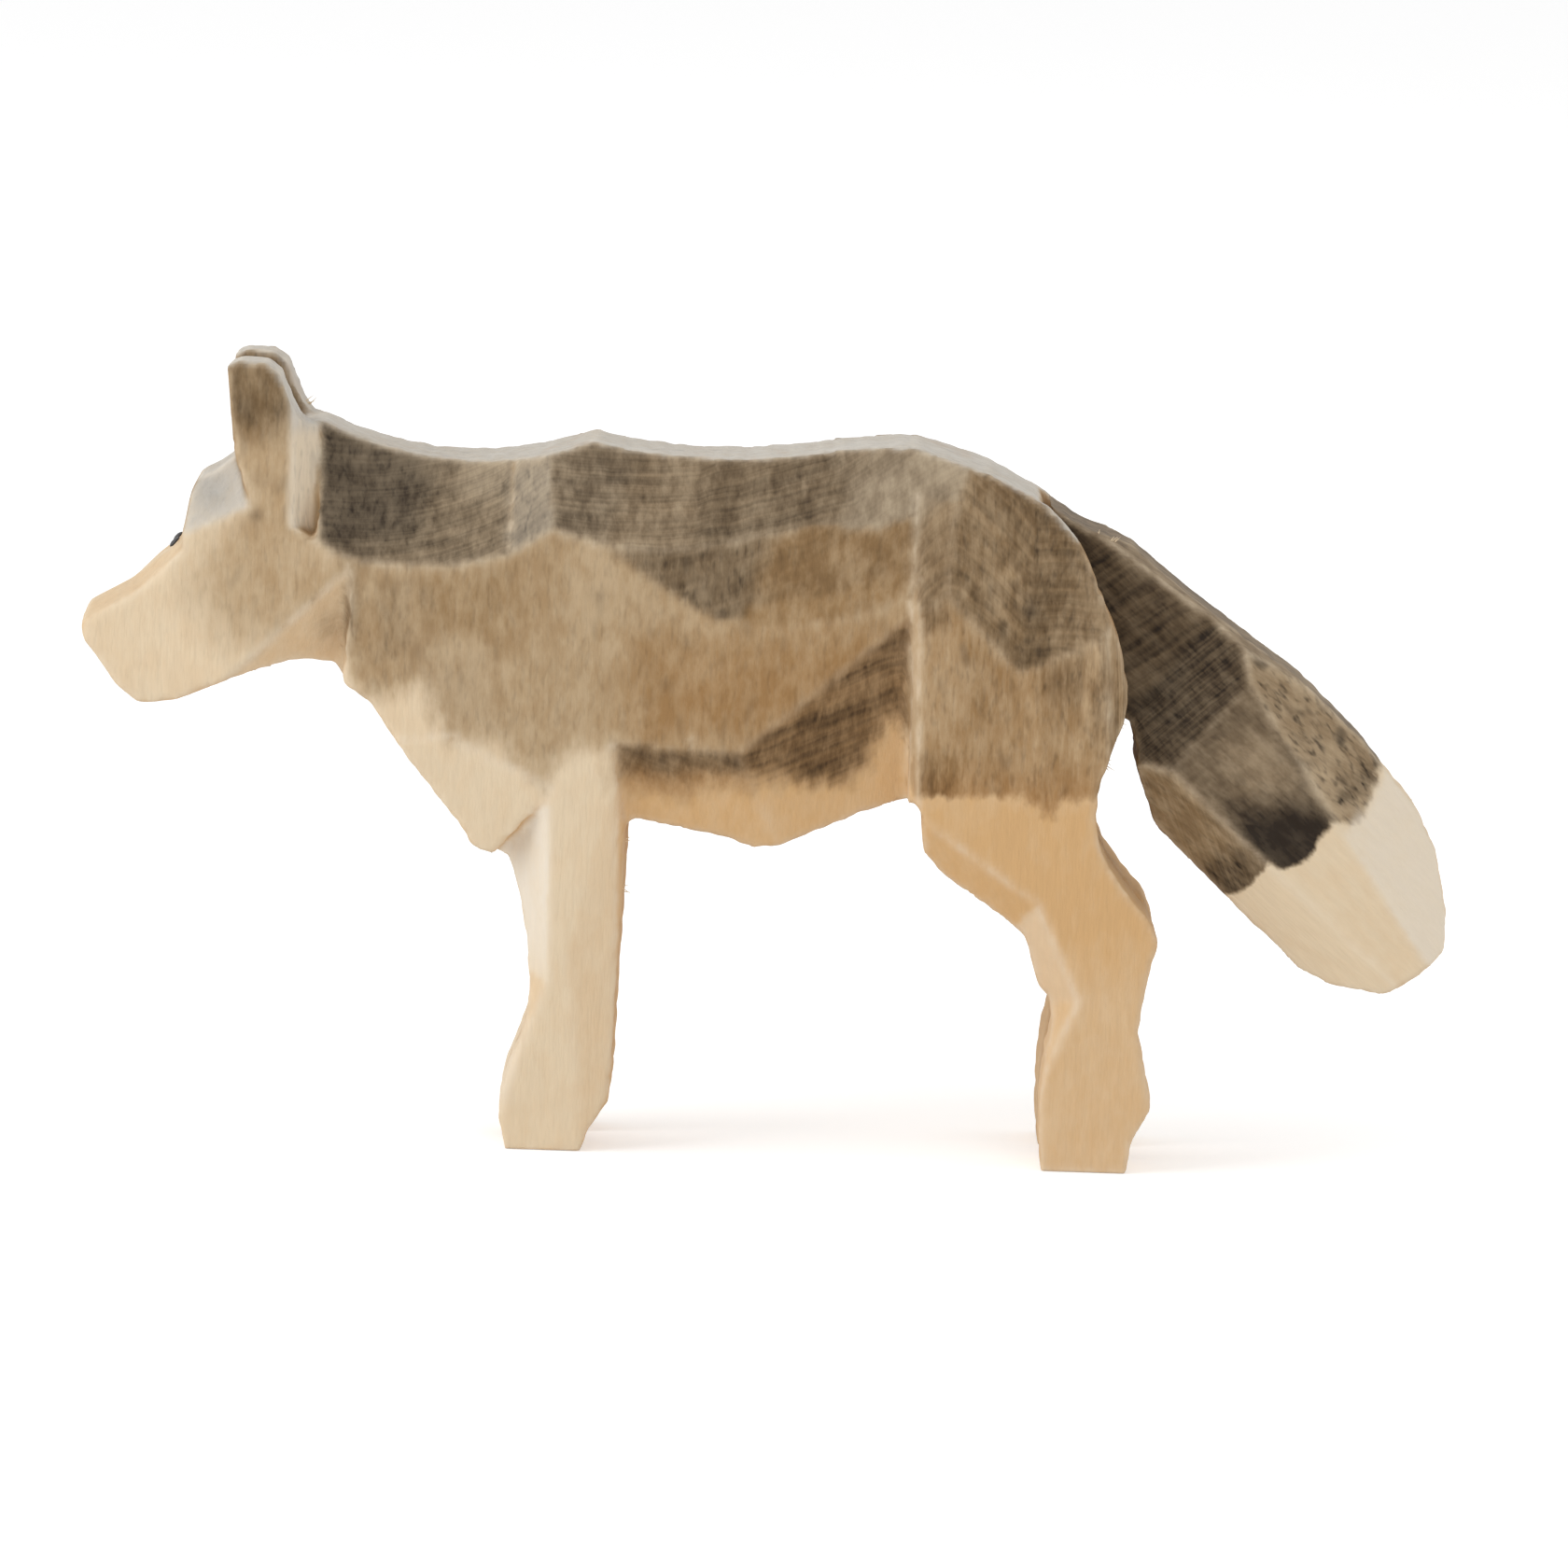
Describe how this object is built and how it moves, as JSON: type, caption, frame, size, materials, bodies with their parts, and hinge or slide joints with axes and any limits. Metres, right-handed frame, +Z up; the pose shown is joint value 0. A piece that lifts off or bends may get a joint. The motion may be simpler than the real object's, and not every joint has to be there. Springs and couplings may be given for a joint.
{
  "type": "wooden wolf figurine",
  "caption": "Hand-carved wooden wolf standing on four legs, with pared flat and hollow faces, upright ears and a separate pegged tail.",
  "frame": {"origin": "on the ground under the middle of the wolf's bounding box", "axes": "+Z up, the wolf looks along -X, its left side is at -Y"},
  "size_m": [0.0905, 0.0136, 0.0518],
  "materials": {
    "body_wood": "grey-brown stain over pale bare wood, unvarnished",
    "tail_wood": "dark grey-brown stain with a bare cream tip, unvarnished",
    "eye_paint": "black paint"
  },
  "bodies": {
    "root": {"carved_body": "body_wood", "tail": "tail_wood", "left_eye": "eye_paint", "right_eye": "eye_paint"}
  },
  "joints": []
}
